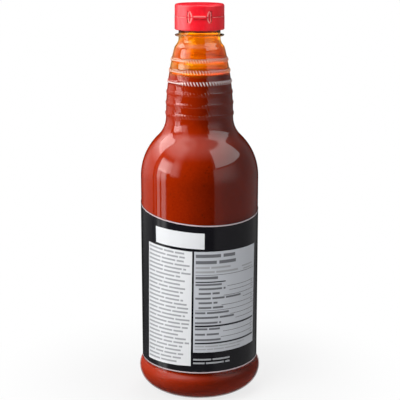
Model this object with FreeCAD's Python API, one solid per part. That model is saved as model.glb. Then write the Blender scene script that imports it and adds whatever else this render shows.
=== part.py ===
import FreeCAD, Part
import math
import os

# A family-size barbecue sauce bottle: a clear blown bottle with a bulged foot, a plain
# wrap label, six roped rings round its long neck and a red flip-top closure.
# Millimetres, +Z up, origin at the middle of the standing ring, hinge towards -Y.

V = FreeCAD.Vector

# --- bottle body -----------------------------------------------------------
wall = 0.9                    # thickness of the blown wall
body_radius = 36.0            # plain cylinder under the label
foot_ring_width = 4.3         # flat ring that the bottle stands on
push_up = 5.0                 # height of the raised middle of the base
push_up_round = 2.4           # radius where the raised middle turns down
heel_width = 15.0             # across, from the standing ring out to the bulge
heel_turn = 47.5              # degrees turned by the lower arc of the heel
bulge_proud = 2.05            # how far the bulge stands out from the cylinder
bulge_height = 13.3           # height of the widest place
foot_height = 20.0            # the cylinder starts here
cylinder_length = 115.5
shoulder_length = 36.5        # measured up the axis, from the cylinder to the neck
bulge_share = 0.6             # share of an S-bend that its convex arc takes
shoulder_share = 0.68

# --- neck ------------------------------------------------------------------
neck_foot_radius = 20.35      # the neck stands upright at its foot
neck_length = 41.2            # its long arc, measured up the axis
neck_top_radius = 15.2
dome_round = 4.7              # rounded top of the neck
collar_round = 6.0            # hollow that leads up to the finish
ring_count = 6
ring_first = 2.4              # lowest ring, above the foot of the neck
ring_pitch = 6.5
ring_width = 2.6              # height of one ring along the neck
ring_proud_low = 0.3          # the lower half of the rings stands out less
ring_proud_high = 0.5

# --- neck finish -----------------------------------------------------------
finish_radius = 12.5
finish_wall = 1.6
stem_length = 1.4             # straight stretch between the collar and the ledge
ledge_reach = 2.2             # support ledge, out from the finish
ledge_thickness = 0.9
bead_width = 1.6              # snap bead that holds the closure
bead_share = 0.4              # its place, as a share of the way up to the mouth

# --- contents and label ----------------------------------------------------
headspace = 34.1              # from the mouth down to the sauce
label_thickness = 0.2
label_margin_low = 0.2        # above the start of the cylinder
label_margin_high = 17.9      # from the middle of its top edge up to the shoulder
label_dip = 5.05              # its top edge is this much lower at its lowest place
label_dip_azimuth = 24.8      # degrees from -Y towards +X of that lowest place

# --- closure ---------------------------------------------------------------
skirt_gap = 2.8               # from the ledge up to the closure
skirt_space = 1.17            # between the finish and the skirt
skirt_wall = 1.2
skirt_height = 8.0            # from the skirt's lower edge to the parting line
skirt_chamfer = 0.35
deck_thickness = 1.2
seam_gap = 0.15
bead_clearance = 0.25         # between the snap bead and the skirt
lid_height = 7.6              # from the parting line to the middle of the top
lid_step = 0.1                # the lid is this much narrower than the base
lid_wall = 1.2
lid_round = 1.3               # rounded top edge of the lid
lid_crown = 0.5               # how far the lid's top domes above its edge
snap_ring_height = 0.9        # ring on the deck that the lid closes over
snap_ring_wall = 0.7
snap_ring_clearance = 0.3
spout_bore_radius = 4.3       # the usual pouring hole for a thick sauce
spout_wall = 1.1
spout_height = 3.2            # above the deck
plug_depth = 1.5              # how far the lid's plug reaches into the spout
plug_clearance = 0.3
plug_taper = 0.35
plug_wall = 0.8

# --- butterfly hinge -------------------------------------------------------
bar_length = 8.0
bar_half_height = 0.95        # of each half, measured from the parting line
bar_proud = 0.7
bar_round = 0.4
window_inner_x = 4.5          # nearest to the bar, at the parting line
window_end_x = 5.9            # the window's inner edge at its far ends
window_outer_x = 7.2
window_reach = 3.5            # above and below the parting line
strap_slit = 0.28             # gap on each side of a strap
strap_set_back = 0.3          # from the closure's surface
strap_thickness = 0.6

# --- places that follow from the sizes above -------------------------------
bulge_radius = body_radius + bulge_proud
foot_outer_radius = bulge_radius - heel_width
foot_inner_radius = foot_outer_radius - foot_ring_width
shoulder_low = foot_height + cylinder_length
neck_foot = shoulder_low + shoulder_length
neck_top = neck_foot + neck_length
label_low = foot_height + label_margin_low
label_middle = shoulder_low - label_margin_high
bore_radius = finish_radius - finish_wall
ledge_radius = finish_radius + ledge_reach
skirt_bore_radius = finish_radius + skirt_space
bead_radius = skirt_bore_radius - bead_clearance
cap_radius = skirt_bore_radius + skirt_wall
lid_radius = cap_radius - lid_step
lid_bore_radius = lid_radius - lid_wall
hinge_y = -(cap_radius + bar_proud)


def save(shape, name):
    """Write one node after checking that it is a single sound solid."""
    solids = shape.Solids
    if len(solids) != 1 or not solids[0].isValid():
        raise ValueError(name + " is not one valid solid")
    solids[0].exportStep("parts/" + name + ".step")
    return solids[0]


# --- profiles: arcs given by centre, radius, two angles and their bulge -------
class Arc:
    """An arc of an outline in the XZ plane. Its inset keeps centre and angles."""

    def __init__(self, centre_r, centre_z, radius, start, end, convex):
        self.centre = (centre_r, centre_z)
        self.radius = radius
        self.start = start
        self.end = end
        self.side = -1.0 if convex else 1.0

    def point(self, angle, inset=0.0):
        radius = self.radius + self.side * inset
        return V(self.centre[0] + radius * math.cos(angle), 0,
                 self.centre[1] + radius * math.sin(angle))

    def angle_at(self, height, inset=0.0):
        radius = self.radius + self.side * inset
        return math.asin((height - self.centre[1]) / radius)

    def edge(self, inset=0.0, start=None, end=None):
        first = self.start if start is None else start
        last = self.end if end is None else end
        points = [self.point(a, inset) for a in (first, (first + last) / 2, last)]
        return Part.Arc(*points).toShape()


def s_bend(low_r, low_z, high_r, high_z, convex_share):
    """Two tangent arcs that leave a vertical wall and join a narrower one."""
    drop = low_r - high_r
    rise = high_z - low_z
    turn = 2 * math.atan2(drop, rise)
    total = rise / math.sin(turn)
    convex = total * convex_share
    hollow = total - convex
    return [Arc(low_r - convex, low_z, convex, 0, turn, True),
            Arc(high_r + hollow, high_z, hollow, math.pi + turn, math.pi, False)]


def heel_arcs():
    """Two arcs that lead from the flat standing ring up to the bulge."""
    turn = math.radians(heel_turn)
    s, c = math.sin(turn), math.cos(turn)
    upper = (bulge_height * s - heel_width * (1 - c)) / (c * s - (1 - s) * (1 - c))
    lower = (heel_width - upper * (1 - s)) / s
    quarter = math.pi / 2
    return [Arc(foot_outer_radius, lower, lower, -quarter, turn - quarter, True),
            Arc(bulge_radius - upper, bulge_height, upper, turn - quarter, 0, True)]


def neck_arc():
    """The long arc of the neck, upright at its foot and leaning in at its top."""
    drop = neck_foot_radius - neck_top_radius
    radius = (neck_length ** 2 + drop ** 2) / (2 * drop)
    lean = 2 * math.atan2(drop, neck_length)
    return Arc(neck_foot_radius - radius, neck_foot, radius, 0, lean, True)


def collar_arcs(neck):
    """The rounded top of the neck and the hollow that leads up to the finish."""
    lean = neck.end
    drop = neck_top_radius - finish_radius
    cosine = (dome_round * math.cos(lean) + collar_round - drop) / (dome_round + collar_round)
    turn = math.acos(cosine)
    dome_r = neck_top_radius - dome_round * math.cos(lean)
    dome_z = neck_top - dome_round * math.sin(lean)
    hollow_r = finish_radius + collar_round
    hollow_z = dome_z + (dome_round + collar_round) * math.sin(turn)
    return [Arc(dome_r, dome_z, dome_round, lean, turn, True),
            Arc(hollow_r, hollow_z, collar_round, math.pi + turn, math.pi, False)]


def base_arc():
    """The round between the raised middle of the base and its way down to the ring."""
    centre_r = foot_inner_radius - 2 * push_up_round
    return Arc(centre_r, push_up - push_up_round, push_up_round, math.pi / 2, 0, False)


def first_point(part):
    return part if isinstance(part, V) else part.firstVertex(True).Point


def joined(parts):
    """Edges of an outline with a straight line wherever two parts don't meet."""
    edges = []
    last = None
    for part in parts:
        first = first_point(part)
        if last is not None and last.distanceToPoint(first) > 1e-7:
            edges.append(Part.LineSegment(last, first).toShape())
        if isinstance(part, V):
            last = part
        else:
            edges.append(part)
            last = part.lastVertex(True).Point
    return edges


def turned(parts):
    """The solid that a closed outline in the XZ plane sweeps round the axis."""
    wire = Part.Wire(joined(list(parts) + [first_point(parts[0])]))
    return Part.Face(wire).revolve(V(0, 0, 0), V(0, 0, 1), 360)


def at(radius, height):
    return V(radius, 0, height)


# --- bottle ---------------------------------------------------------------------
def lower_outline(inset):
    """Middle of the base, foot, heel, bulge, cylinder and shoulder."""
    rest = heel_arcs()
    rest += s_bend(bulge_radius, bulge_height, body_radius, foot_height, bulge_share)
    rest += s_bend(body_radius, shoulder_low, neck_foot_radius, neck_foot, shoulder_share)
    parts = [at(0, push_up + inset), base_arc().edge(inset)]
    parts += [at(foot_inner_radius, inset), at(foot_outer_radius, inset)]
    return parts + [arc.edge(inset) for arc in rest]


def ringed_neck(neck):
    """The neck's arc broken by the six rings that stand out from it."""
    parts = []
    angle = neck.start
    for index in range(ring_count):
        height = neck_foot + ring_first + index * ring_pitch
        proud = ring_proud_low if 2 * index < ring_count else ring_proud_high
        low = neck.angle_at(height - ring_width / 2)
        high = neck.angle_at(height + ring_width / 2)
        crest = neck.point((low + high) / 2, -proud)
        parts.append(neck.edge(0, angle, low))
        parts.append(Part.Arc(neck.point(low), crest, neck.point(high)).toShape())
        angle = high
    parts.append(neck.edge(0, angle, neck.end))
    return parts


def finish_heights():
    """Underside and top of the support ledge, the closure's places and the mouth."""
    ledge_low = collar_arcs(neck_arc())[-1].centre[1] + stem_length
    ledge_top = ledge_low + ledge_thickness
    cap_low = ledge_top + skirt_gap
    seam = cap_low + skirt_height
    mouth = seam - seam_gap / 2 - deck_thickness
    return ledge_low, ledge_top, cap_low, seam, mouth


ledge_low, ledge_top, cap_low, seam, mouth = finish_heights()
cap_top = seam + lid_height
rim = seam - seam_gap / 2           # top of the closure's base
lid_low = seam + seam_gap / 2
spout_top = rim + spout_height
roof = cap_top - lid_crown - lid_wall
sauce_level = mouth - headspace


def finish_outline():
    """Support ledge, snap bead and lip, from the collar up to the mouth."""
    bead = ledge_top + (mouth - ledge_top) * bead_share
    half = bead_width / 2
    return [at(finish_radius, ledge_low), at(ledge_radius, ledge_low + ledge_thickness / 4),
            at(ledge_radius, ledge_top), at(finish_radius, ledge_top),
            at(finish_radius, bead - half), at(bead_radius, bead),
            at(finish_radius, bead + half), at(finish_radius, mouth),
            at(bore_radius, mouth)]


def make_bottle():
    neck = neck_arc()
    outer = lower_outline(0) + ringed_neck(neck)
    outer += [arc.edge() for arc in collar_arcs(neck)]
    inner = lower_outline(wall) + [neck.edge(wall)]
    inner += [arc.edge(wall) for arc in collar_arcs(neck)]
    bore = [at(bore_radius, ledge_low), at(bore_radius, mouth)]
    shell = turned(outer + finish_outline() + [at(0, mouth)])
    return shell.cut(turned(inner + bore + [at(0, mouth)]))


def make_sauce():
    neck = neck_arc()
    level = neck.angle_at(sauce_level, wall)
    return turned(lower_outline(wall) + [neck.edge(wall, neck.start, level),
                                         at(0, sauce_level)])


def make_label():
    """A wrap label whose top edge lies in a plane that dips to one side."""
    outer = body_radius + label_thickness
    tall = label_middle + 2 * label_dip
    sleeve = turned([at(body_radius, label_low), at(outer, label_low),
                     at(outer, tall), at(body_radius, tall)])
    size = 4 * outer
    block = Part.makeBox(size, size, size, V(-size / 2, -size / 2, 0))
    tilt = math.degrees(math.atan2(label_dip, outer))
    block.rotate(V(0, 0, 0), V(1, 0, 0), tilt)
    block.rotate(V(0, 0, 0), V(0, 0, 1), label_dip_azimuth)
    block.translate(V(0, 0, label_middle))
    return sleeve.cut(block)


# --- closure ----------------------------------------------------------------------
def window_face(side, margin):
    """Outline of a strap window, or with a margin of the strap inside it.

    A strap is as tall as its window, so its far ends join the wall.
    """
    inner = side * (window_inner_x + margin)
    end = side * (window_end_x + margin)
    outer = side * (window_outer_x - margin)
    y = hinge_y - 1
    top = V(end, y, seam + window_reach)
    low = V(end, y, seam - window_reach)
    edges = [Part.Arc(low, V(inner, y, seam), top).toShape()]
    corner_top = V(outer, y, top.z)
    corner_low = V(outer, y, low.z)
    edges += [Part.LineSegment(top, corner_top).toShape(),
              Part.LineSegment(corner_top, corner_low).toShape(),
              Part.LineSegment(corner_low, low).toShape()]
    return Part.Face(Part.Wire(edges))


def ring(inner, outer, low, high):
    return turned([at(inner, low), at(outer, low), at(outer, high), at(inner, high)])


def with_hinge(shell, radius, bore_radius, low, high, bar_low, bar_high, rounded_z):
    """Cut the strap windows, leave half of each strap in them and add half of the bar."""
    wall_ring = ring(bore_radius, cap_radius + 1, low, high)
    surface = radius - strap_set_back
    strap_ring = ring(surface - strap_thickness, surface, low, high)
    for side in (-1, 1):
        window = window_face(side, 0).extrude(V(0, cap_radius, 0))
        strap = window_face(side, strap_slit).extrude(V(0, cap_radius, 0))
        shell = shell.cut(window.common(wall_ring)).fuse(strap.common(strap_ring))
    bar = half_bar(bar_low, bar_high, rounded_z)
    inside = Part.makeCylinder(bore_radius, high - low, V(0, 0, low))
    return shell.fuse(bar.cut(inside)).removeSplitter()


def half_bar(low, high, rounded_z):
    """One half of the raised hinge bar, rounded along its outer far edge."""
    depth = bar_proud + skirt_wall
    bar = Part.makeBox(bar_length, depth, high - low, V(-bar_length / 2, hinge_y, low))
    outer = [edge for edge in bar.Edges if abs(edge.CenterOfMass.y - hinge_y) < 1e-6]
    far = [edge for edge in outer if abs(edge.CenterOfMass.z - rounded_z) < 1e-6]
    return bar.makeFillet(bar_round, far)


def make_cap_base():
    spout_radius = spout_bore_radius + spout_wall
    snap_radius = lid_bore_radius - snap_ring_clearance
    snap_top = rim + snap_ring_height
    shell = turned([at(skirt_bore_radius, cap_low), at(cap_radius - skirt_chamfer, cap_low),
                    at(cap_radius, cap_low + skirt_chamfer), at(cap_radius, rim),
                    at(snap_radius, rim), at(snap_radius, snap_top),
                    at(snap_radius - snap_ring_wall, snap_top),
                    at(snap_radius - snap_ring_wall, rim), at(spout_radius, rim),
                    at(spout_radius, spout_top), at(spout_bore_radius, spout_top),
                    at(spout_bore_radius, mouth), at(skirt_bore_radius, mouth)])
    bar_low = seam - bar_half_height
    return with_hinge(shell, cap_radius, skirt_bore_radius, cap_low, rim,
                      bar_low, rim, bar_low)


def make_cap_lid():
    edge_height = cap_top - lid_crown
    corner = lid_round * (1 - math.sqrt(0.5))
    top_round = Part.Arc(at(lid_radius, edge_height - lid_round),
                         at(lid_radius - corner, edge_height - corner),
                         at(lid_radius - lid_round, edge_height)).toShape()
    crown_end = at(0, cap_top)
    flat = lid_radius - lid_round
    crown_radius = (flat ** 2 + lid_crown ** 2) / (2 * lid_crown)
    half = math.asin(flat / crown_radius) / 2
    crown_mid = at(crown_radius * math.sin(half),
                   cap_top - crown_radius * (1 - math.cos(half)))
    crown = Part.Arc(at(flat, edge_height), crown_mid, crown_end).toShape()
    plug_tip = spout_top - plug_depth
    plug_radius = spout_bore_radius - plug_clearance
    plug_hollow = plug_radius - plug_taper - plug_wall
    shell = turned([at(lid_bore_radius, lid_low), at(lid_radius, lid_low), top_round, crown,
                    at(0, roof), at(plug_hollow, roof),
                    at(plug_hollow, plug_tip), at(plug_radius - plug_taper, plug_tip),
                    at(plug_radius, roof), at(lid_bore_radius, roof)])
    bar_high = seam + bar_half_height
    return with_hinge(shell, lid_radius, lid_bore_radius, lid_low, roof,
                      lid_low, bar_high, bar_high)


os.makedirs("parts", exist_ok=True)
save(make_bottle(), "bottle")
save(make_sauce(), "sauce")
save(make_label(), "label")
save(make_cap_base(), "cap_base")
save(make_cap_lid(), "cap_lid")
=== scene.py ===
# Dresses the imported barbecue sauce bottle: a clear shell with ringed neck, sauce and the
# film above it, a wrap label with plain print, and a satin red closure.
import math
import bpy
import numpy as np
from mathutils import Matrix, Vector


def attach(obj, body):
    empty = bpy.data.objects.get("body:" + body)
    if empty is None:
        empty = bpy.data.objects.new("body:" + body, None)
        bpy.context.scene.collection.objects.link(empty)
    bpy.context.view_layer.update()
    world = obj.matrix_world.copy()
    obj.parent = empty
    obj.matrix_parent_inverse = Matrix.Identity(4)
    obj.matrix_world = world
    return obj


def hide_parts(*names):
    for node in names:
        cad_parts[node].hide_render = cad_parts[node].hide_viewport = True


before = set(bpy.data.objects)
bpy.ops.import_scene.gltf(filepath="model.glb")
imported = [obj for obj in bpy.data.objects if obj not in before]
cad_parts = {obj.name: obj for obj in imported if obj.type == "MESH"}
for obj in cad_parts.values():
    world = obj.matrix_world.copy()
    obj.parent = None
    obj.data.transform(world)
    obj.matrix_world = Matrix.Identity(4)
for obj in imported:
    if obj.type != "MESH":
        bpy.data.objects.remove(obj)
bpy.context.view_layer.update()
rng = np.random.default_rng(23)

# ---------------------------------------------------------------- sizes, in mm
# The same named sizes as the part's source, so the clear shell follows the solid.
WALL = 0.9
BODY_R = 36.0
BULGE_R = 38.05
FOOT_IN_R, FOOT_OUT_R = 18.75, 23.05
PUSH_UP, PUSH_ROUND = 5.0, 2.4
HEEL_TURN, BULGE_Z = math.radians(47.5), 13.3
CYL_LOW, CYL_TOP = 20.0, 135.5
NECK_FOOT_R, NECK_FOOT_Z = 20.35, 172.0
NECK_TOP_R, NECK_TOP_Z = 15.2, 213.2
DOME_R, COLLAR_R = 4.7, 6.0
RINGS = [174.4, 180.9, 187.4, 193.9, 200.4, 206.9]
RING_W, RING_PROUD_LOW, RING_PROUD_HIGH = 2.6, 0.3, 0.5
LOW_RINGS = 3                 # the lower rings stand out less and have no painted glints on their crests
FINISH_R, BORE_R = 12.5, 10.9
STEM = 1.4
LEDGE_R, LEDGE_T = 14.7, 0.9
BEAD_R, BEAD_SHARE, BEAD_HALF = 13.42, 0.4, 0.8
MOUTH = 231.13
LEVEL = MOUTH - 34.1
LABEL_R, LABEL_LOW, LABEL_MID = 36.2, 20.2, 117.6
LABEL_DIP, DIP_AZ = 5.05, math.radians(24.8)
SEAM = 232.41
CLOSURE_R = 14.87
BAR_FACE = CLOSURE_R + 0.7
BULGE_SHARE, SHOULDER_SHARE = 0.6, 0.68


# ---------------------------------------------------------------- outline of the bottle
class Arc:
    """Arc of the outline; an inset moves it into the wall and keeps its angles."""

    def __init__(self, cr, cz, radius, start, end, convex):
        self.c, self.radius, self.start, self.end = (cr, cz), radius, start, end
        self.side = -1.0 if convex else 1.0

    def rows(self, step, inset=0.0, start=None, end=None):
        """Points along the arc as (radius, height, and the outward normal's two parts)."""
        a0 = self.start if start is None else start
        a1 = self.end if end is None else end
        rad = self.radius + self.side * inset
        n = max(2, int(math.ceil(abs(a1 - a0) * rad / step)))
        out = []
        for a in np.linspace(a0, a1, n + 1):
            s = -self.side
            out.append((self.c[0] + rad * math.cos(a), self.c[1] + rad * math.sin(a),
                        s * math.cos(a), s * math.sin(a)))
        return out

    def angle_at(self, z, inset=0.0):
        return math.asin((z - self.c[1]) / (self.radius + self.side * inset))

    def radius_at(self, z, inset=0.0):
        rad = self.radius + self.side * inset
        return self.c[0] + rad * math.cos(self.angle_at(z, inset))


def s_bend(low_r, low_z, high_r, high_z, share):
    """A convex arc and then a hollow one, both upright at their far ends."""
    drop, rise = low_r - high_r, high_z - low_z
    turn = 2 * math.atan2(drop, rise)
    total = rise / math.sin(turn)
    convex, hollow = total * share, total * (1 - share)
    return [Arc(low_r - convex, low_z, convex, 0, turn, True),
            Arc(high_r + hollow, high_z, hollow, math.pi + turn, math.pi, False)]


def heel_arcs():
    """From the standing ring out to the bulge: a tight arc and a wide one."""
    width = BULGE_R - FOOT_OUT_R
    s, c = math.sin(HEEL_TURN), math.cos(HEEL_TURN)
    wide = (BULGE_Z * s - width * (1 - c)) / (c * s - (1 - s) * (1 - c))
    tight = (width - wide * (1 - s)) / s
    q = math.pi / 2
    return [Arc(FOOT_OUT_R, tight, tight, -q, HEEL_TURN - q, True),
            Arc(BULGE_R - wide, BULGE_Z, wide, HEEL_TURN - q, 0, True)]


def neck_arc():
    drop, rise = NECK_FOOT_R - NECK_TOP_R, NECK_TOP_Z - NECK_FOOT_Z
    radius = (rise ** 2 + drop ** 2) / (2 * drop)
    return Arc(NECK_FOOT_R - radius, NECK_FOOT_Z, radius, 0, 2 * math.atan2(drop, rise), True)


def collar_arcs(neck):
    """The rounded top of the neck and the hollow that leads up to the finish."""
    lean, drop = neck.end, NECK_TOP_R - FINISH_R
    turn = math.acos((DOME_R * math.cos(lean) + COLLAR_R - drop) / (DOME_R + COLLAR_R))
    dr = NECK_TOP_R - DOME_R * math.cos(lean)
    dz = NECK_TOP_Z - DOME_R * math.sin(lean)
    hz = dz + (DOME_R + COLLAR_R) * math.sin(turn)
    return [Arc(dr, dz, DOME_R, lean, turn, True),
            Arc(FINISH_R + COLLAR_R, hz, COLLAR_R, math.pi + turn, math.pi, False)]


NECK = neck_arc()
COLLAR = collar_arcs(NECK)
LEDGE_Z = COLLAR[-1].c[1] + STEM
TAPER = 1.3                   # half the height over which the bore opens into the collar
SHOULDER = s_bend(BODY_R, CYL_TOP, NECK_FOOT_R, NECK_FOOT_Z, SHOULDER_SHARE)
HEEL = heel_arcs()
WAIST = s_bend(BULGE_R, BULGE_Z, BODY_R, CYL_LOW, BULGE_SHARE)
PUSH = Arc(FOOT_IN_R - 2 * PUSH_ROUND, PUSH_UP - PUSH_ROUND, PUSH_ROUND, math.pi / 2, 0, False)
MIDDLE_R = 3.0                # innermost ring of the base
SAME = 1e-4                   # rows closer than this are one row


# ---------------------------------------------------------------- mesh helpers
def add_mesh(name, verts, faces, sharp=None):
    """A smooth object from points in mm, with edges above `sharp` degrees kept."""
    mesh = bpy.data.meshes.new(name)
    mesh.from_pydata((np.asarray(verts, float) * 0.001).tolist(), [], faces)
    mesh.validate()
    mesh.polygons.foreach_set("use_smooth", np.ones(len(mesh.polygons), bool))
    if sharp is not None:
        mesh.set_sharp_from_angle(angle=math.radians(sharp))
    obj = bpy.data.objects.new(name, mesh)
    bpy.context.scene.collection.objects.link(obj)
    return obj


def polar(r, az, z):
    """Points at azimuth az, measured from -Y towards +X."""
    return np.stack([r * np.sin(az), -r * np.cos(az), z], -1)


def ring_faces(base_a, base_b, n, flip=False):
    i = np.arange(n)
    j = (i + 1) % n
    f = np.stack([base_a + i, base_a + j, base_b + j, base_b + i], -1)
    return f[:, ::-1] if flip else f


class Lathe:
    """Collects rings of points and the faces between them."""

    def __init__(self):
        self.verts, self.faces, self.count = [], [], 0

    def ring(self, pts):
        self.verts.append(pts)
        self.count += len(pts)
        return self.count - len(pts), len(pts)

    def bridge(self, a, b, flip=False):
        """Joins two rings; one may have a whole number of times the other's points."""
        (ba, na), (bb, nb) = a, b
        if na == nb:
            self.faces += ring_faces(ba, bb, na, flip).tolist()
            return
        few, many, fn, mn = (ba, bb, na, nb) if na < nb else (bb, ba, nb, na)
        k = mn // fn
        for i in range(fn):
            low, nxt = few + i, few + (i + 1) % fn
            fine = [many + (i * k + t) % mn for t in range(k + 1)]
            half = k // 2 + 1
            tris = [[low, fine[t + 1], fine[t]] for t in range(half - 1)]
            tris.append([low, nxt, fine[half - 1]])
            tris += [[nxt, fine[t + 1], fine[t]] for t in range(half - 1, k)]
            if (na > nb) != flip:
                tris = [t[::-1] for t in tris]
            self.faces += tris

    def cap(self, a, point, flip=False):
        """Closes a ring with a fan of triangles to a middle point."""
        base, n = a
        self.verts.append(np.array([point], float))
        tip = self.count
        self.count += 1
        for i in range(n):
            tri = [base + i, base + (i + 1) % n, tip]
            self.faces.append(tri[::-1] if flip else tri)

    def build(self, name, sharp=None):
        return add_mesh(name, np.concatenate(self.verts), self.faces, sharp)


def azimuths(n):
    return np.linspace(0, 2 * math.pi, n, endpoint=False)


def plain_ring(r, z, n):
    az = azimuths(n)
    return polar(np.full(n, r), az, np.full(n, z))


# ---------------------------------------------------------------- materials
def material(name, color, rough):
    mat = bpy.data.materials.new(name)
    mat.use_nodes = True
    bsdf = mat.node_tree.nodes["Principled BSDF"]
    bsdf.inputs["Base Color"].default_value = (*color, 1)
    bsdf.inputs["Roughness"].default_value = rough
    return mat, mat.node_tree, bsdf


def node(nt, kind, **props):
    n = nt.nodes.new(kind)
    for key, value in props.items():
        setattr(n, key, value)
    return n


def noise(nt, scale, detail, rough=0.5, stretch=None):
    tex = node(nt, "ShaderNodeTexNoise")
    tex.inputs["Scale"].default_value = scale
    tex.inputs["Detail"].default_value = detail
    tex.inputs["Roughness"].default_value = rough
    src = node(nt, "ShaderNodeTexCoord").outputs["Object"]
    if stretch:
        m = node(nt, "ShaderNodeMapping")
        m.inputs["Scale"].default_value = stretch
        nt.links.new(src, m.inputs["Vector"])
        src = m.outputs["Vector"]
    nt.links.new(src, tex.inputs["Vector"])
    return tex


def ramp(nt, source, stops):
    r = node(nt, "ShaderNodeValToRGB")
    els = r.color_ramp.elements
    while len(els) < len(stops):
        els.new(0.5)
    for el, (pos, col) in zip(els, stops):
        el.position = pos
        el.color = (*col, 1) if len(col) == 3 else col
    nt.links.new(source, r.inputs["Fac"])
    return r


def bump(nt, bsdf, height, strength, distance):
    b = node(nt, "ShaderNodeBump")
    b.inputs["Strength"].default_value = strength
    b.inputs["Distance"].default_value = distance
    nt.links.new(height, b.inputs["Height"])
    nt.links.new(b.outputs["Normal"], bsdf.inputs["Normal"])
    return b


STIPPLE_TOP, STIPPLE_END = 0.0175, 0.0200     # in metres: the stipple fades out between them
STIPPLE_ROUGH = 0.42
STIPPLE_DULL = 1.3            # share of clear plastic mixed in, as a multiple of the roughness


def clear_plastic():
    """Clear PET. Shadow and bounced rays pass straight through it."""
    mat = bpy.data.materials.new("clear_pet")
    mat.use_nodes = True
    nt = mat.node_tree
    nt.nodes.remove(nt.nodes["Principled BSDF"])
    glass = node(nt, "ShaderNodeBsdfGlass")
    glass.inputs["IOR"].default_value = 1.57
    # the heel's outside is finely stippled, so what it reflects is soft
    coord = node(nt, "ShaderNodeTexCoord")
    split = node(nt, "ShaderNodeSeparateXYZ")
    nt.links.new(coord.outputs["Object"], split.inputs[0])
    stipple = node(nt, "ShaderNodeMapRange")
    stipple.inputs["From Min"].default_value = STIPPLE_TOP
    stipple.inputs["From Max"].default_value = STIPPLE_END
    stipple.inputs["To Min"].default_value = STIPPLE_ROUGH
    stipple.inputs["To Max"].default_value = 0.0
    nt.links.new(split.outputs["Z"], stipple.inputs["Value"])
    nt.links.new(stipple.outputs[0], glass.inputs["Roughness"])
    glass.inputs["Color"].default_value = (0.985, 0.99, 0.985, 1)
    clear = node(nt, "ShaderNodeBsdfTransparent")
    path = node(nt, "ShaderNodeLightPath")
    either = node(nt, "ShaderNodeMath", operation="MAXIMUM")
    nt.links.new(path.outputs["Is Shadow Ray"], either.inputs[0])
    nt.links.new(path.outputs["Is Diffuse Ray"], either.inputs[1])
    dull = node(nt, "ShaderNodeMath", operation="MULTIPLY")
    dull.inputs[1].default_value = STIPPLE_DULL
    nt.links.new(stipple.outputs[0], dull.inputs[0])
    pass_by = node(nt, "ShaderNodeMath", operation="MAXIMUM")
    nt.links.new(either.outputs[0], pass_by.inputs[0])
    nt.links.new(dull.outputs[0], pass_by.inputs[1])
    mix = node(nt, "ShaderNodeMixShader")
    nt.links.new(pass_by.outputs[0], mix.inputs[0])
    nt.links.new(glass.outputs[0], mix.inputs[1])
    nt.links.new(clear.outputs[0], mix.inputs[2])
    nt.links.new(mix.outputs[0], nt.nodes["Material Output"].inputs["Surface"])
    return mat


def sauce_material():
    """Brown red sauce, finely mottled, with a few dark specks."""
    mat, nt, bsdf = material("sauce", (0.24, 0.014, 0.001), 0.35)
    bsdf.inputs["Specular IOR Level"].default_value = 0.02
    mottle = noise(nt, 900, 4.0, 0.6)
    col = ramp(nt, mottle.outputs["Fac"], [(0.25, (0.205, 0.0100, 0.0003)),
                                           (0.55, (0.24, 0.0137, 0.0004)),
                                           (0.80, (0.275, 0.0185, 0.0006))])
    vor = node(nt, "ShaderNodeTexVoronoi")
    vor.inputs["Scale"].default_value = 620
    vor.inputs["Randomness"].default_value = 1.0
    coord = node(nt, "ShaderNodeTexCoord")
    nt.links.new(coord.outputs["Object"], vor.inputs["Vector"])
    dots = node(nt, "ShaderNodeMapRange")
    dots.inputs["From Min"].default_value = 0.16
    dots.inputs["From Max"].default_value = 0.24
    dots.inputs["To Min"].default_value = 1.0
    dots.inputs["To Max"].default_value = 0.0
    nt.links.new(vor.outputs["Distance"], dots.inputs["Value"])
    pick = noise(nt, 300, 1.0)
    few = node(nt, "ShaderNodeMapRange")
    few.inputs["From Min"].default_value = 0.56
    few.inputs["From Max"].default_value = 0.64
    nt.links.new(pick.outputs["Fac"], few.inputs["Value"])
    both = node(nt, "ShaderNodeMath", operation="MULTIPLY")
    nt.links.new(dots.outputs[0], both.inputs[0])
    nt.links.new(few.outputs[0], both.inputs[1])
    mix = node(nt, "ShaderNodeMix", data_type="RGBA")
    nt.links.new(both.outputs[0], mix.inputs["Factor"])
    nt.links.new(col.outputs["Color"], mix.inputs["A"])
    mix.inputs["B"].default_value = (0.035, 0.008, 0.002, 1)
    nt.links.new(mix.outputs["Result"], bsdf.inputs["Base Color"])
    return mat


def film_material():
    """Sauce left on the wall above the level: thin places let the light through."""
    mat = bpy.data.materials.new("sauce_film")
    mat.use_nodes = True
    nt = mat.node_tree
    bsdf = nt.nodes["Principled BSDF"]
    bsdf.inputs["Roughness"].default_value = 0.3
    bsdf.inputs["Specular IOR Level"].default_value = 0.05
    thick = node(nt, "ShaderNodeAttribute", attribute_name="thick")
    tint = ramp(nt, thick.outputs["Fac"], [(0.0, (1.0, 0.74, 0.16)), (0.3, (1.0, 0.60, 0.03)),
                                           (0.6, (0.96, 0.40, 0.002)), (1.0, (0.62, 0.10, 0.0))])
    body = ramp(nt, thick.outputs["Fac"], [(0.0, (0.85, 0.42, 0.01)), (0.5, (0.55, 0.13, 0.001)),
                                           (1.0, (0.24, 0.015, 0.0002))])
    nt.links.new(body.outputs["Color"], bsdf.inputs["Base Color"])
    clear = node(nt, "ShaderNodeBsdfTransparent")
    nt.links.new(tint.outputs["Color"], clear.inputs["Color"])
    opaque = ramp(nt, thick.outputs["Fac"], [(0.0, (0.05,) * 3), (0.5, (0.18,) * 3), (1.0, (0.85,) * 3)])
    mix = node(nt, "ShaderNodeMixShader")
    nt.links.new(opaque.outputs["Color"], mix.inputs[0])
    nt.links.new(clear.outputs[0], mix.inputs[1])
    nt.links.new(bsdf.outputs[0], mix.inputs[2])
    nt.links.new(mix.outputs[0], nt.nodes["Material Output"].inputs["Surface"])
    return mat


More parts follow.
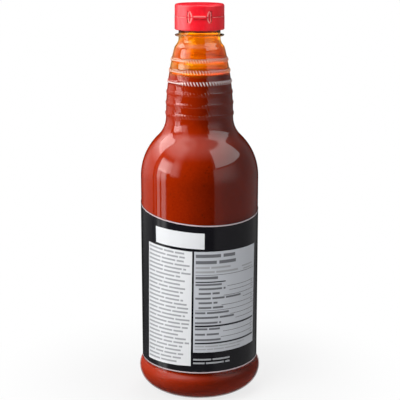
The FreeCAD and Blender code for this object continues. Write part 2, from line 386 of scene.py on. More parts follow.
def glint_overlay_material(name, cover):
    """Pale overlay that paints highlights (glints) on the upper rings' ridge crests; cover is how opaque
    the painted highlight is.
    """
    mat = bpy.data.materials.new(name)
    mat.use_nodes = True
    nt = mat.node_tree
    bsdf = nt.nodes["Principled BSDF"]
    bsdf.inputs["Base Color"].default_value = (0.98, 0.86, 0.84, 1)
    bsdf.inputs["Roughness"].default_value = 0.25
    clear = node(nt, "ShaderNodeBsdfTransparent")
    mix = node(nt, "ShaderNodeMixShader")
    mix.inputs[0].default_value = cover
    nt.links.new(clear.outputs[0], mix.inputs[1])
    nt.links.new(bsdf.outputs[0], mix.inputs[2])
    nt.links.new(mix.outputs[0], nt.nodes["Material Output"].inputs["Surface"])
    return mat


# ---------------------------------------------------------------- clear shell
FINE, COARSE = 448, 112       # points round a ring, where there are ridges and elsewhere
LEAN = math.tan(math.radians(25))
STROKES = 64                  # slanted ridges round each ring
RING_SHIFT = 1.3              # radians by which each ring's ridges lag those below it
RING_REACH = 1.15             # the ridges' reach, in half widths of the ring
FLUTE_LOW, FLUTE_HIGH = 160.0, 208.0          # faint flutes run between these heights


def ring_wave(az, r, z, zc, shift):
    """Slanted ridges that lean like a backslash."""
    phase = STROKES * (az + LEAN * (z - zc) / r) + shift
    return np.power(0.5 + 0.5 * np.cos(phase), 1.6)


def outer_detail(z, r, az):
    """How far the surface stands out from the plain outline, in mm."""
    d = np.zeros_like(az)
    # the strokes fade out where the mould parts, near the left
    fade = 1 - 0.85 * np.exp(-((az_signed(az) + 0.85) / 0.33) ** 2)
    for k, zc in enumerate(RINGS):
        t = (z - zc) / (RING_W / 2)
        if abs(t) < RING_REACH:
            proud = RING_PROUD_LOW if k < LOW_RINGS else RING_PROUD_HIGH
            swell = max(0.0, 1 - t * t)
            d += proud * swell
            taper = max(0.0, 1 - abs(t / RING_REACH) ** 3) ** 0.7
            d += 0.24 * taper * (ring_wave(az, r, z, zc, RING_SHIFT * k) - 0.35) * fade
    if FLUTE_LOW < z < FLUTE_HIGH:
        ends = min(1.0, (z - FLUTE_LOW) / 5.0) * min(1.0, (FLUTE_HIGH - z) / 4.0)
        d += 0.035 * ends * np.cos(STROKES * (az + LEAN * (z - 170.0) / r))
    return d


def az_signed(az):
    return (az + math.pi) % (2 * math.pi) - math.pi


def shell_foot():
    """Rows of the outside, as (radius, height, normal's two parts, points in the ring)."""
    ease = 0.35
    rows = [(*p, COARSE) for p in PUSH.rows(0.6)]
    rows += [(FOOT_IN_R, ease, 0, 0, COARSE), (FOOT_IN_R + ease, 0, 0, 0, COARSE)]
    rows += [(FOOT_OUT_R, 0, 0, 0, COARSE)]
    for arcs, step in ((HEEL, 1.4), (WAIST, 0.8)):
        for arc in arcs:
            rows += [(*p, COARSE) for p in arc.rows(step)[1:]]
    return rows


def shell_body():
    """The cylinder, where the rings' points become fine, then the shoulder."""
    coarse_end, fine_start, middle = 45.0, 52.0, 90.0
    rows = [(BODY_R, coarse_end, 1, 0, COARSE)]
    rows += [(BODY_R, z, 1, 0, FINE) for z in (fine_start, middle)]
    for arc in SHOULDER:
        rows += [(*p, FINE) for p in arc.rows(1.5)]
    return rows


def shell_neck():
    """The ringed neck, with closer rows across each ring, then the collar."""
    margin, above_rings = 0.2, [209.5, 211.4]
    marks = [NECK_FOOT_Z]
    for zc in RINGS:
        marks += list(np.linspace(zc - RING_W / 2 - margin, zc + RING_W / 2 + margin, 10))
    marks += above_rings
    heights = []
    for low, high in zip(marks, marks[1:]):
        n = max(1, int(round(high - low)))
        heights += list(np.linspace(low, high, n, endpoint=False))
    heights.append(marks[-1])
    rows = []
    for z in heights[1:]:
        a = NECK.angle_at(z)
        rows.append((NECK.radius_at(z), z, math.cos(a), math.sin(a), FINE))
    for arc in COLLAR:
        rows += [(*p, FINE) for p in arc.rows(0.9)]
    return rows


def shell_finish():
    """The support ledge with its rounded rim, the snap bead and the mouth."""
    top = LEDGE_Z + LEDGE_T
    bead = top + (MOUTH - top) * BEAD_SHARE
    half = LEDGE_T / 2
    near, far = 0.15, 0.30    # rows close to a corner keep its shading crisp
    lip, rim = 0.25, 0.6
    points = [(FINISH_R, LEDGE_Z - far), (FINISH_R, LEDGE_Z - near), (FINISH_R + 0.12, LEDGE_Z)]
    points += [(LEDGE_R - rim, LEDGE_Z + 0.02)]
    points += [(LEDGE_R - half + half * math.cos(a), LEDGE_Z + half + half * math.sin(a))
               for a in np.linspace(-1.4, 1.4, 8)]
    points += [(LEDGE_R - rim, top - 0.02), (FINISH_R + near, top)]
    points += [(FINISH_R, top + near), (FINISH_R, top + far)]
    points += [(FINISH_R, bead - BEAD_HALF), (BEAD_R, bead), (FINISH_R, bead + BEAD_HALF)]
    points += [(FINISH_R, MOUTH - lip), (FINISH_R - lip, MOUTH)]
    points += [(BORE_R + lip, MOUTH), (BORE_R, MOUTH - lip)]
    return [(r, z, 0, 0, COARSE) for r, z in points]


def shell_inside():
    """The inner wall, from the bore down to the raised middle of the base."""
    rows = [(BORE_R, LEDGE_Z + TAPER, 0, 0)]
    for arc in reversed(COLLAR):
        rows += [p for p in reversed(arc.rows(0.8, WALL)) if p[1] < LEDGE_Z - 2 * TAPER]
    rows += reversed(NECK.rows(2.0, WALL))
    for arcs, step in ((SHOULDER, 2.0), (WAIST, 0.8), (HEEL, 1.4)):
        for arc in reversed(arcs):
            rows += reversed(arc.rows(step, WALL))
    rows += [(FOOT_IN_R, WALL, 0, 0)]
    rows += reversed(PUSH.rows(0.6, WALL))
    return [(*p, COARSE) for p in rows]


def make_shell():
    """The whole blown bottle as one closed surface."""
    lathe = Lathe()
    last = lathe.ring(plain_ring(MIDDLE_R, PUSH_UP, COARSE))
    lathe.cap(last, (0, 0, PUSH_UP), flip=True)
    seen = None
    outside = shell_foot() + shell_body() + shell_neck() + shell_finish()
    for r, z, nr, nz, n in outside + shell_inside():
        if seen and abs(seen[0] - r) < SAME and abs(seen[1] - z) < SAME and seen[2] == n:
            continue
        seen = (r, z, n)
        az = azimuths(n)
        d = outer_detail(z, r, az) if n == FINE else np.zeros(n)
        ring = lathe.ring(polar(r + nr * d, az, z + nz * d))
        lathe.bridge(last, ring)
        last = ring
    lathe.cap(last, (0, 0, PUSH_UP + WALL))
    shell = lathe.build("bottle_shell", sharp=50)
    shell.data.materials.append(clear_plastic())
    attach(shell, "bottle")
    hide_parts("bottle")
    return shell


def make_ridge_glints():
    """Painted highlights on the crests of the slanted ridges of the three upper rings: a pale overlay
    that follows the real ridges and stands in for their glints.

    Near the left the crests lose their lean and merge into one low band, a painted highlight line where
    the ring's crest reflects the light from the left."""
    verts, faces, slots = [], [], []
    along, across = np.linspace(-1, 1, 7), np.linspace(-1, 1, 4)
    crest_tall, crest_low = 1.30, 0.30
    for k, zc in list(enumerate(RINGS))[LOW_RINGS:]:
        for i in range(STROKES):
            mid = (2 * math.pi * i - RING_SHIFT * k) / STROKES
            side = az_signed(mid)
            merge = math.exp(-((side + 0.95) / 0.42) ** 4)
            half = (0.16 + 0.36 * merge) * 2 * math.pi / STROKES
            tall = crest_tall - (crest_tall - crest_low) * merge
            lean = LEAN * (1 - merge)
            base = len(verts)
            for s in along:
                z = zc + s * tall
                r0 = NECK.radius_at(z)
                w = half * (math.sqrt(max(0.0, 1 - 0.96 * s * s)) * (1 - merge) + merge)
                for t in across:
                    az = mid - lean * (z - zc) / r0 + t * w
                    swell = RING_PROUD_HIGH * max(0.0, 1 - (s * tall / crest_tall) ** 2)
                    r = r0 + swell + 0.22 - 0.16 * t * t
                    verts.append((r * math.sin(az), -r * math.cos(az), z))
            n = len(across)
            for a in range(len(along) - 1):
                for b in range(n - 1):
                    v = base + a * n + b
                    faces.append((v, v + 1, v + n + 1, v + n))
                    slots.append(0 if k == LOW_RINGS else 1)
    ridges = add_mesh("neck_ridge_glints", verts, faces)
    # the pale overlay colour is painted highlight; the lowest of the three rings gets the denser one
    ridges.data.materials.append(glint_overlay_material("painted_glint_ridge", 0.80))
    ridges.data.materials.append(glint_overlay_material("painted_glint_ridge_faint", 0.42))
    ridges.data.polygons.foreach_set("material_index", slots)
    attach(ridges, "bottle")
    return ridges


# ---------------------------------------------------------------- sauce
REACH = 0.35                  # how far the sauce reaches into the wall
MENISCUS = ((0.45, 0.0), (0.9, 0.35), (1.6, 0.7), (3.0, 0.9), (8.0, 0.95))   # in from the wall, down


def make_sauce():
    """The sauce up to its level. It reaches into the wall, so no air gap shows."""
    inset = WALL - REACH
    rows = [p[:2] for p in PUSH.rows(0.8, inset)]
    rows += [(FOOT_IN_R, inset), (FOOT_OUT_R, inset)]
    for arc in HEEL + WAIST:
        rows += [p[:2] for p in arc.rows(1.4, inset)]
    for arc in SHOULDER:
        rows += [p[:2] for p in arc.rows(2.0, inset)]
    top = NECK.angle_at(LEVEL, inset)
    rows += [p[:2] for p in NECK.rows(1.6, inset, 0, top)]
    lathe = Lathe()
    last = lathe.ring(plain_ring(MIDDLE_R, PUSH_UP + inset, COARSE))
    lathe.cap(last, (0, 0, PUSH_UP + inset), flip=True)
    seen = None
    for r, z in rows:
        if seen and abs(seen[0] - r) < SAME and abs(seen[1] - z) < SAME:
            continue
        seen = (r, z)
        ring = lathe.ring(plain_ring(r, z, COARSE))
        lathe.bridge(last, ring)
        last = ring
    # a low meniscus, then the flat top
    r_top = rows[-1][0]
    for back, down in MENISCUS:
        ring = lathe.ring(plain_ring(r_top - back, LEVEL - down, COARSE))
        lathe.bridge(last, ring)
        last = ring
    lathe.cap(last, (0, 0, LEVEL - MENISCUS[-1][1]))
    sauce = lathe.build("sauce_fill", sharp=60)
    sauce.data.materials.append(sauce_material())
    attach(sauce, "bottle")
    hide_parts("sauce")
    return sauce


def smooth_noise(az, z, freq_az, freq_z, seed):
    """Periodic value noise on the wall, from 0 to 1."""
    g = np.random.default_rng(seed).random((freq_az, 64))
    u = (az / (2 * math.pi)) % 1 * freq_az
    v = z * freq_z
    i, j = np.floor(u).astype(int), np.floor(v).astype(int)
    fu, fv = u - i, v - j
    fu, fv = fu * fu * (3 - 2 * fu), fv * fv * (3 - 2 * fv)
    a = g[i % freq_az, j % 64] * (1 - fu) + g[(i + 1) % freq_az, j % 64] * fu
    b = g[i % freq_az, (j + 1) % 64] * (1 - fu) + g[(i + 1) % freq_az, (j + 1) % 64] * fu
    return a * (1 - fv) + b * fv


def bell(x, mid, wide):
    """1 at mid, and near 0 from about two widths away."""
    return np.exp(-((x - mid) / wide) ** 2)


def film_thickness(az, z):
    """0 where the wall is nearly clean, 1 where the film is as dark as the sauce."""
    side = az_signed(az)
    wav = (0.5 * smooth_noise(az, z, 9, 0.22, 5) + 0.3 * smooth_noise(az, z, 26, 0.6, 6)
           + 0.2 * smooth_noise(az, z, 80, 1.6, 7))
    base = 0.10 + 0.85 * bell(z, LEVEL, 1.5)
    base += 0.34 * bell(z, 211.0, 6.0) + 0.22 * bell(z, 200.0, 3.5) + 0.06 * bell(z, 221.0, 5.0)
    base += 0.10 * bell(z, 219.8, 1.3)
    # poured once: the film ran down one side and left a thin place beside it
    run = smooth_noise(side + 0.06 * np.sin(z * 0.9), z, 14, 0.35, 9)
    base -= 0.34 * bell(side, -0.35, 0.55) * bell(z, 203.0, 4.0)
    base += 0.20 * bell(side, 0.95, 0.6) * bell(z, 204.0, 9.0)
    smear = np.abs(smooth_noise(az + 0.05 * np.sin(1.7 * z), z, 40, 1.1, 12) - 0.5) * 2
    out = base * (0.6 + 0.8 * wav) + 0.30 * (run - 0.5) * bell(z, 203, 5.0)
    out -= 0.20 * smear * bell(z, 203.0, 4.5)
    return np.clip(out, 0.02, 1.0)


FILM_SINK = 0.2               # how far the film's outer side lies inside the wall


def film_path():
    """Points of the inner wall above the level: radius, height, then the direction out."""
    out = []
    for a in np.linspace(NECK.angle_at(LEVEL - 0.3, WALL), NECK.end, 26):
        out.append((NECK, a))
    for arc in COLLAR:
        out += [(arc, a) for a in np.linspace(arc.start, arc.end, 8)[1:]]
    points = []
    for arc, a in out:
        radius = arc.radius + arc.side * WALL
        r, z = arc.c[0] + radius * math.cos(a), arc.c[1] + radius * math.sin(a)
        if arc.c[1] + radius * math.sin(a) < LEDGE_Z - 2 * TAPER:
            points.append((r, z, -arc.side * math.cos(a), -arc.side * math.sin(a)))
    return points


def make_film():
    """A closed skin on the inner wall, whose thickness is kept for its colour."""
    n = 312
    az = azimuths(n)
    outer, inner = [], []
    for r, z, nr, nz in film_path():
        thick = film_thickness(az, np.full(n, z))
        depth = 0.05 + 0.55 * thick
        outer.append((np.full(n, r + nr * FILM_SINK), np.full(n, z + nz * FILM_SINK), thick))
        inner.append((r - nr * depth, z - nz * depth, thick))
    for z in np.linspace(LEDGE_Z + TAPER, MOUTH - 0.6, 9):
        thick = film_thickness(az, np.full(n, z))
        outer.append((np.full(n, BORE_R + FILM_SINK), np.full(n, z), thick))
        inner.append((BORE_R - 0.05 - 0.4 * thick, np.full(n, z), thick))
    lathe = Lathe()
    sides = [[lathe.ring(polar(r, az, z)) for r, z, thick in side] for side in (outer, inner)]
    for side, flip in zip(sides, (False, True)):
        for low, high in zip(side, side[1:]):
            lathe.bridge(low, high, flip=flip)
    lathe.bridge(sides[0][-1], sides[1][-1])
    lathe.bridge(sides[0][0], sides[1][0], flip=True)
    thickness = np.concatenate([thick for r, z, thick in outer + inner])
    film = lathe.build("sauce_film", sharp=60)
    attr = film.data.attributes.new("thick", "FLOAT", "POINT")
    attr.data.foreach_set("value", thickness.astype(np.float32))
    film.data.materials.append(film_material())
    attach(film, "bottle")
    return film


# ---------------------------------------------------------------- label
def label_top(az):
    """Height of the label's slanted upper edge."""
    return LABEL_MID - LABEL_DIP * np.cos(az - DIP_AZ)


def make_label():
    """A closed thin wrap whose inner side lies just inside the wall."""
    n, bury, round_off = 288, 0.1, 0.05
    az = azimuths(n)
    top = label_top(az)
    low = np.full(n, LABEL_LOW)
    lathe = Lathe()
    spec = [(BODY_R - bury, low), (LABEL_R - round_off, low), (LABEL_R, low + round_off)]
    spec += [(LABEL_R, low + (top - low) * f) for f in (0.25, 0.5, 0.75)]
    spec += [(LABEL_R, top - round_off), (LABEL_R - round_off, top), (BODY_R - bury, top)]
    rings = [lathe.ring(polar(np.full(n, r), az, z)) for r, z in spec]
    for a, b in zip(rings, rings[1:] + rings[:1]):
        lathe.bridge(a, b)
    label = lathe.build("label_wrap", sharp=40)
    mat, nt, bsdf = material("label_film", (0.0085, 0.0080, 0.0105), 0.16)
    bsdf.inputs["IOR"].default_value = 1.48
    waves = noise(nt, 26, 2.0, 0.5, stretch=(1, 1, 0.35))
    bump(nt, bsdf, waves.outputs["Fac"], 0.25, 0.0012)
    label.data.materials.append(mat)
    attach(label, "bottle")
    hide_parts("label")
    return label


class Print:
    """Flat fields of colour that lie on the label."""

    def __init__(self, name):
        self.name, self.verts, self.faces, self.mats = name, [], [], []

    def patch(self, tl, tr, bl, br, lift, mat):
        """Corners are (azimuth in degrees, height in mm)."""
        n = max(1, int(abs(tr[0] - tl[0]) / 2.5))
        base = len(self.verts)
        for i in range(n + 1):
            f = i / n
            for a, b in ((tl, tr), (bl, br)):
                az = math.radians(a[0] + (b[0] - a[0]) * f)
                z = a[1] + (b[1] - a[1]) * f
                r = LABEL_R + lift
                self.verts.append((r * math.sin(az), -r * math.cos(az), z))
        for i in range(n):
            k = base + 2 * i
            self.faces.append((k + 1, k + 3, k + 2, k))
            self.mats.append(mat)

    def build(self):
        obj = add_mesh(self.name, self.verts, self.faces)
        for name, color in INKS:
            obj.data.materials.append(material(name, color, 0.3)[0])
        obj.data.polygons.foreach_set("material_index", self.mats)
        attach(obj, "bottle")
        return obj


WHITE, BLACK, GREY, EDGE, TABLE, DARK = range(6)
INKS = [
    ("print_white", (0.82, 0.83, 0.85)),
    ("print_black", (0.014, 0.014, 0.018)),
    ("print_grey", (0.38, 0.39, 0.41)),
    ("film_edge", (0.62, 0.50, 0.52)),
    ("print_table", (0.56, 0.58, 0.62)),
    ("print_dark", (0.15, 0.155, 0.17)),
]


class Panel:
    """A plain field with its own coordinates: u across, v down, in mm. Its corners are
    top left, top right, bottom left and bottom right, each (azimuth in degrees, height)."""

    def __init__(self, sheet, tl, tr, bl, br, lift=0.03, fill=WHITE):
        self.sheet, self.c, self.lift = sheet, (tl, tr, bl, br), lift
        self.wide = math.radians(abs(tr[0] - tl[0])) * LABEL_R
        self.tall = tl[1] - bl[1]
        if fill is not None:
            sheet.patch(tl, tr, bl, br, lift, fill)

    def at(self, u, v):
        """The place of (u, v) on the label, as a corner is given."""
        tl, tr, bl, br = self.c
        fu, fv = u / self.wide, v / self.tall
        top = [tl[k] + (tr[k] - tl[k]) * fu for k in (0, 1)]
        low = [bl[k] + (br[k] - bl[k]) * fu for k in (0, 1)]
        return tuple(top[k] + (low[k] - top[k]) * fv for k in (0, 1))

    def box(self, u0, u1, v0, v1, ink, lift=0.03):
        self.sheet.patch(self.at(u0, v0), self.at(u1, v0), self.at(u0, v1), self.at(u1, v1),
                         self.lift + lift, ink)

    def bars(self, u0, u1, v, size, ink):
        """A row of plain bars; v is its lower edge, size its height."""
        u = u0
        while u1 - u > size:
            wide = min(size * rng.uniform(5.0, 14.0), u1 - u)
            self.box(u, u + wide, v - size, v, ink)
            u += wide + size * 0.8


def print_edges(sheet):
    """The pale cut edges of the label, below and above."""
    step, near, far, lift = 3.0, 0.02, 0.75, 0.02
    for k in range(120):
        a0, a1 = k * step, k * step + step
        low, high = LABEL_LOW + near, LABEL_LOW + far
        sheet.patch((a0, high), (a1, high), (a0, low), (a1, low), lift, EDGE)
    for k in range(120):
        a0, a1 = k * step, k * step + step
        t0, t1 = (float(label_top(math.radians(a))) for a in (a0, a1))
        sheet.patch((a0, t0 - near), (a1, t1 - near), (a0, t0 - far), (a1, t1 - far), lift, EDGE)


def print_table(sheet):
    """A table of dark bars and rules. Bars are placed by azimuth and height."""
    left, top = -5.0, 96.9
    table = Panel(sheet, (left, top), (66.7, 96.4), (-6.3, 33.6), (64.9, 33.6), lift=0.05, fill=TABLE)
    start, end = 1.0, table.wide - 1.0

    def across(az):
        return math.radians(az - left) * LABEL_R

    def bars(to_az, height, size, ink, from_az=None, indent=0.0):
        u = start + indent if from_az is None else across(from_az)
        table.bars(u, across(to_az), top - height, size, ink)

    def rule(high, low, from_az=left, to_az=None):
        last = end if to_az is None else across(to_az)
        table.box(max(start, across(from_az)), last, top - high, top - low, BLACK)

    for to_az, height, size, ink in ((36, 93.2, 2.0, DARK), (37, 89.3, 2.0, DARK),
                                     (31, 86.4, 1.2, GREY), (41, 83.7, 1.2, GREY)):
        bars(to_az, height, size, ink)
    rule(82.5, 82.25)
    bars(18, 79.9, 1.6, DARK)
    bars(62, 85.2, 0.8, GREY, from_az=45)
    bars(62, 83.3, 0.8, GREY, from_az=47)
    rule(78.4, 77.7, to_az=26)
    # each row: height, indent, where its bar ends, and whether a short bar stands at the right
    for height, indent, to_az, short in (
            (75.8, 0, 22, False), (73.2, 2, 26, True), (70.3, 2, 20, True), (67.3, 0, 44, False),
            (64.4, 2, 18, True), (61.4, 2, 24, True), (58.1, 0, 30, False), (55.1, 0, 36, False),
            (51.8, 0, 22, False), (47.9, 0, 22, True), (44.5, 0, 20, True), (41.0, 0, 22, True)):
        bars(to_az, height, 1.2, DARK, indent=indent)
        if short:
            bars(63.5, height, 1.0, GREY, from_az=60)
    thin, thick = 0.24, (1.1, 1.0)
    for height, from_az in ((74.9, 28), (72.2, 30), (69.2, 24), (66.2, 47), (63.3, 22), (60.2, left),
                            (56.9, 32), (53.8, 38), (46.5, 24), (43.1, 22)):
        rule(height + thin / 2, height - thin / 2, from_az)
    for height, width in zip((50.35, 39.45), thick):
        rule(height + width / 2, height - width / 2)
    bars(50, 37.1, 0.7, GREY)
    bars(44, 35.2, 0.7, GREY)


def make_print():
    """Fields of colour with rows of plain bars, where the pack has its copy."""
    sheet = Print("label_print")
    print_edges(sheet)
    # a blank white box, and below it a white panel with rows of grey bars
    Panel(sheet, (-46.2, 110.0), (4.7, 108.0), (-45.8, 100.0), (4.7, 98.3))
    left = Panel(sheet, (-57.4, 99.0), (-6.8, 96.9), (-59.9, 24.0), (-8.6, 24.9), lift=0.05)
    first_row, row_pitch, ragged = 2.4, 2.53, 7
    for k in range(29):
        last = left.wide - 0.8 - ragged * rng.random() ** 1.5
        left.bars(0.9, last, first_row + k * row_pitch, 1.10, GREY)
    print_table(sheet)
    # two rows of bars below the table
    foot = Panel(sheet, (-6.8, 33.0), (40.0, 33.0), (-6.8, 24.0), (40.0, 24.0), fill=None)
    for v in (4.5, 6.8):
        foot.bars(0.4, math.radians(37) * LABEL_R, v, 1.05, GREY)
    return sheet.build()


# ---------------------------------------------------------------- closure
def dress_closure():
    """Satin red plastic on the CAD closure."""
    mat, nt, bsdf = material("red_plastic", (0.90, 0.010, 0.024), 0.30)
    bsdf.inputs["Specular IOR Level"].default_value = 0.7
    bsdf.inputs["Subsurface Weight"].default_value = 0.12
    bsdf.inputs["Subsurface Radius"].default_value = (0.004, 0.0008, 0.0008)
    bsdf.inputs["Subsurface Scale"].default_value = 0.6
    grain = noise(nt, 1500, 2.0, 0.6)
    relief = bump(nt, bsdf, grain.outputs["Fac"], 0.08, 0.0001)
    # moulded edges are never quite sharp, and catch the light
    rounded = node(nt, "ShaderNodeBevel", samples=6)
    rounded.inputs["Radius"].default_value = 0.00032
    nt.links.new(rounded.outputs["Normal"], relief.inputs["Normal"])
    for name in ("cap_base", "cap_lid"):
        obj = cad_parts[name]
        obj.data.materials.clear()
        obj.data.materials.append(mat)


class HighlightBeads:
    """Thin raised lines on the closure in a paler red: painted highlights along moulded edges."""

    def __init__(self, name, body):
        self.name, self.body, self.verts, self.faces = name, body, [], []

    def line(self, points, half, proud=0.10, flat=False):
        """Points are (u, z) in mm: u runs round the closure from the hinge, or
        straight across the hinge bar's flat face."""
        base = len(self.verts)
        path = np.array(points, float)
        run = np.gradient(path, axis=0)
        run /= np.linalg.norm(run, axis=1)[:, None]
        for (u, z), (du, dz) in zip(path, run):
            for side, up in ((-1, 0.01), (0, proud), (1, 0.01)):
                across = u - dz * half * side
                az, r = across / CLOSURE_R, CLOSURE_R + up
                x, y = (across, -BAR_FACE - up) if flat else (r * math.sin(az), -r * math.cos(az))
                self.verts.append((x, y, z + du * half * side))
        for k in range(len(points) - 1):
            for t in (0, 1):
                v = base + 3 * k + t
                self.faces.append((v, v + 1, v + 4, v + 3))

    def build(self, mat):
        obj = add_mesh(self.name, self.verts, self.faces)
        obj.data.materials.append(mat)
        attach(obj, self.body)
        return obj


def make_closure_highlights():
    """Painted highlights: pale red raised lines on the hinge's edges on both halves, a pale strip on the
    lid's hinge bar, and a bright line along the seam.
    """
    # a paler red than the plastic: the colour of the painted highlights
    mat = material("painted_edge_highlight", (1.0, 0.26, 0.25), 0.30)[0]
    off_seam = 0.25
    rise = np.linspace(0, 1, 9)
    for name, body, way in (("closure_highlights_base", "bottle", -1), ("closure_highlights_lid", "lid", 1)):
        beads = HighlightBeads(name, body)
        for side in (-1, 1):
            inner = [(side * (4.75 + 1.25 * f * f), SEAM + way * (off_seam + 3.1 * f)) for f in rise]
            outer = [(side * 6.75, SEAM + way * (off_seam + 2.7 * f)) for f in rise]
            beads.line(inner, 0.42)
            beads.line(outer, 0.26)
        if name == "closure_highlights_lid":
            bar = [(u, SEAM + 0.48) for u in np.linspace(-3.5, 3.5, 8)]
            beads.line(bar, 0.34, 0.02, flat=True)
        else:
            for start, end in ((-41.0, -8.2), (8.2, 41.0)):
                seam = [(u, SEAM - 0.22) for u in np.linspace(start, end, 60)]
                beads.line(seam, 0.12, 0.06)
        beads.build(mat)


# ---------------------------------------------------------------- stage, light, camera
def area(name, az, elev, dist, wide, tall, radiance, aim_z=0.12):
    """A soft lamp seen from the bottle at an azimuth from -Y and an elevation, in metres."""
    a, e = math.radians(az), math.radians(elev)
    light = bpy.data.lights.new(name, "AREA")
    light.shape = "RECTANGLE"
    light.size, light.size_y = wide, tall
    light.energy = radiance * math.pi * wide * tall
    obj = bpy.data.objects.new(name, light)
    bpy.context.scene.collection.objects.link(obj)
    away = Vector((math.sin(a) * math.cos(e), -math.cos(a) * math.cos(e), math.sin(e)))
    obj.location = Vector((0, 0, aim_z)) + away * dist
    obj.rotation_mode = "QUATERNION"
    obj.rotation_quaternion = away.to_track_quat("Z", "Y")
    obj.visible_camera = False
    return obj


def make_floor():
    """A pale round floor that fades into the white background."""
    n, below = 96, -0.02
    lathe = Lathe()
    last = lathe.ring(plain_ring(60.0, below, n))
    lathe.cap(last, (0, 0, below), flip=True)
    for r in (150.0, 300.0, 600.0, 1000.0, 1500.0):
        ring = lathe.ring(plain_ring(r, below, n))
        lathe.bridge(last, ring)
        last = ring
    floor = lathe.build("floor")
    mat, nt, bsdf = material("floor_paint", (0.55, 0.55, 0.55), 0.9)
    bsdf.inputs["Specular IOR Level"].default_value = 0.0
    path = node(nt, "ShaderNodeLightPath")
    coord = node(nt, "ShaderNodeTexCoord")
    length = node(nt, "ShaderNodeVectorMath", operation="LENGTH")
    nt.links.new(coord.outputs["Object"], length.inputs[0])
    fade = node(nt, "ShaderNodeMapRange")
    fade.interpolation_type = "SMOOTHSTEP"
    fade.inputs["From Min"].default_value = 0.03
    fade.inputs["From Max"].default_value = 0.15
    fade.inputs["To Min"].default_value = 0.78
    nt.links.new(length.outputs["Value"], fade.inputs["Value"])
    white = node(nt, "ShaderNodeEmission")
    white.inputs["Strength"].default_value = 1.0
    seen = node(nt, "ShaderNodeMath", operation="MAXIMUM")
    nt.links.new(path.outputs["Is Camera Ray"], seen.inputs[0])
    nt.links.new(path.outputs["Is Transmission Ray"], seen.inputs[1])
    amount = node(nt, "ShaderNodeMath", operation="MULTIPLY")
    nt.links.new(seen.outputs[0], amount.inputs[0])
    nt.links.new(fade.outputs[0], amount.inputs[1])
    mix = node(nt, "ShaderNodeMixShader")
    nt.links.new(amount.outputs[0], mix.inputs[0])
    nt.links.new(bsdf.outputs[0], mix.inputs[1])
    nt.links.new(white.outputs[0], mix.inputs[2])
    nt.links.new(mix.outputs[0], nt.nodes["Material Output"].inputs["Surface"])
    floor.data.materials.append(mat)
    floor.visible_glossy = False
    return floor


# Soft boxes of the studio as reflections show them: azimuth and elevation ranges in
# degrees, then how soft each of the four edges is, then brightness where white is 1.
BOXES = [
    ("right_box", 35, 108, 25, 61, 2, 4, 2, 8, 2.1),
    ("right_card", 28, 74, -2, 22, 3, 45, 26, 3, 0.60),
    ("right_far", 29, 150, -30, 66, 3, 26, 40, 24, 0.22),
    ("left_box", -91, -60, 9, 28, 2, 3, 4, 7, 3.2),
    ("left_core", -92, -69, 10, 26, 2, 8, 5, 10, 2.2),
    ("left_spill", -60, -44, 6, 32, 4, 18, 8, 18, 1.7),
    ("left_strip", -91, -83.5, -35, 12, 2, 2, 30, 4, 1.5),
    ("left_strip_two", -79.5, -69, -35, 12, 2, 6, 30, 4, 1.7),
    ("left_strip_mid", -92, -68, -3, 12, 2, 4, 14, 4, 1.7),
    ("left_line", -99, -94.5, -35, 26, 2, 2, 20, 4, 0.3),
    ("back_box", -137, -103, 27, 52, 3, 2, 3, 4, 4.6),
    ("back_spill", -150, -103, 19, 27, 20, 3, 14, 2, 2.1),
    ("back_low", -146, -103, -12, 18, 26, 3, 32, 6, 0.60),
    ("table", -400, 400, -400, -24, 1, 1, 1, 12, 0.22),
    ("upper_left", -102, -44, 37, 66, 3, 26, 18, 14, 1.25),
    ("overhead", -400, 400, 51, 400, 1, 1, 30, 1, 0.62),
    ("overhead_left", -150, -22, 50, 400, 40, 44, 34, 1, 0.55),
]
AMBIENT = 0.05                # what diffuse rays find in every direction


def edge(nt, value, low, high, soft_low, soft_high):
    """1 between low and high, with a soft step at each."""
    up = node(nt, "ShaderNodeMapRange", interpolation_type="SMOOTHSTEP")
    up.inputs["From Min"].default_value = low - soft_low / 2
    up.inputs["From Max"].default_value = low + soft_low / 2
    down = node(nt, "ShaderNodeMapRange", interpolation_type="SMOOTHSTEP")
    down.inputs["From Min"].default_value = high - soft_high / 2
    down.inputs["From Max"].default_value = high + soft_high / 2
    down.inputs["To Min"].default_value = 1.0
    down.inputs["To Max"].default_value = 0.0
    both = node(nt, "ShaderNodeMath", operation="MULTIPLY")
    for k, m in enumerate((up, down)):
        nt.links.new(value, m.inputs["Value"])
        nt.links.new(m.outputs[0], both.inputs[k])
    return both.outputs[0]


def math_node(nt, kind, a, b=None, c=None):
    """The output of a Math node fed with sockets or numbers."""
    m = node(nt, "ShaderNodeMath", operation=kind)
    for k, v in enumerate((a, b, c)):
        if v is None:
            continue
        if isinstance(v, (int, float)):
            m.inputs[k].default_value = v
        else:
            nt.links.new(v, m.inputs[k])
    return m.outputs[0]


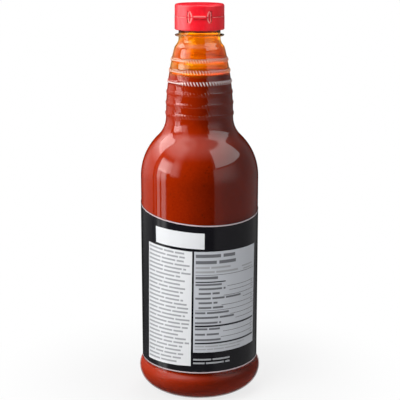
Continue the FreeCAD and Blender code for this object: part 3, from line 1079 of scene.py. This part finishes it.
def make_world():
    """White to the camera, the studio's boxes in reflections, and dim to diffuse rays."""
    world = bpy.data.worlds.new("studio")
    bpy.context.scene.world = world
    world.use_nodes = True
    nt = world.node_tree
    back = nt.nodes["Background"]
    back.inputs["Color"].default_value = (1, 1, 1, 1)
    coord = node(nt, "ShaderNodeTexCoord")
    split = node(nt, "ShaderNodeSeparateXYZ")
    nt.links.new(coord.outputs["Generated"], split.inputs[0])
    x, y, z = split.outputs
    back_y = math_node(nt, "MULTIPLY", y, -1.0)
    az = math_node(nt, "MULTIPLY", math_node(nt, "ARCTAN2", x, back_y), math.degrees(1))
    el = math_node(nt, "MULTIPLY", math_node(nt, "ARCSINE", z), math.degrees(1))
    total = None
    for name, left, right, low, high, soft_l, soft_r, soft_low, soft_high, level in BOXES:
        side = edge(nt, az, left, right, soft_l, soft_r)
        tall = edge(nt, el, low, high, soft_low, soft_high)
        box = math_node(nt, "MULTIPLY", side, tall)
        total = math_node(nt, "MULTIPLY_ADD", box, level, total if total else 0.0)
    path = node(nt, "ShaderNodeLightPath")
    seen = math_node(nt, "MAXIMUM", path.outputs["Is Camera Ray"], path.outputs["Is Transmission Ray"])
    gloss = node(nt, "ShaderNodeMix", data_type="FLOAT")
    nt.links.new(path.outputs["Is Glossy Ray"], gloss.inputs["Factor"])
    gloss.inputs["A"].default_value = AMBIENT
    nt.links.new(total, gloss.inputs["B"])
    mix = node(nt, "ShaderNodeMix", data_type="FLOAT")
    nt.links.new(seen, mix.inputs["Factor"])
    nt.links.new(gloss.outputs["Result"], mix.inputs["A"])
    mix.inputs["B"].default_value = 1.0
    nt.links.new(mix.outputs["Result"], back.inputs["Strength"])


def lit(lamp, pieces, state):
    """Lets a lamp light only these pieces, or all but these."""
    group = bpy.data.collections.new(lamp.name + "_group")
    for piece in pieces:
        group.objects.link(piece)
    lamp.light_linking.receiver_collection = group
    for item in group.collection_objects:
        item.light_linking.link_state = state


def make_lights(sauces, all_but_closure):
    area("top", 0, 89, 0.90, 0.16, 0.16, 14.0)
    rear = area("rear", 170, 34, 0.80, 0.50, 0.50, 5.0)
    rear.visible_glossy = False
    # a tall card on the left that only the closure's satin surface shows
    sheen = area("sheen", -84, 2, 0.62, 0.96, 0.44, 2.1, aim_z=0.23)
    sheen.visible_diffuse = False
    sheen.visible_transmission = False
    lit(sheen, all_but_closure, "EXCLUDE")
    # the sauce lets light through, so its lit side is brighter than a wall's and its far
    # side darker: it has a lamp of its own, from further to the left
    for name, az, elev, level, state in (("key", -46, 40, 9.6, "EXCLUDE"),
                                         ("fill", 78, 42, 3.2, "EXCLUDE"),
                                         ("glow", -75, 40, 21.0, "INCLUDE")):
        lamp = area(name, az, elev, 0.80, 0.50, 0.50, level)
        lamp.visible_glossy = False
        lit(lamp, sauces, state)


def make_camera():
    """A long lens, looking a little down at the middle of the bottle."""
    cam = bpy.data.cameras.new("camera")
    obj = bpy.data.objects.new("camera", cam)
    bpy.context.scene.collection.objects.link(obj)
    cam.sensor_width = 36.0
    cam.lens = 100.8
    pitch = math.radians(13.55)
    dist = 0.6916
    aim_x, aim_z = 0.00027, 0.11974
    obj.location = (aim_x, -dist * math.cos(pitch), aim_z + dist * math.sin(pitch))
    obj.rotation_euler = (math.pi / 2 - pitch, 0, 0)
    bpy.context.scene.camera = obj


glossy = [make_shell(), make_ridge_glints()]
sauces = [make_sauce(), make_film()]
glossy += [make_label(), make_print()]
dress_closure()
make_closure_highlights()
make_floor()
make_world()
make_lights(sauces, sauces + glossy)
make_camera()
bpy.context.scene.view_settings.view_transform = "Standard"
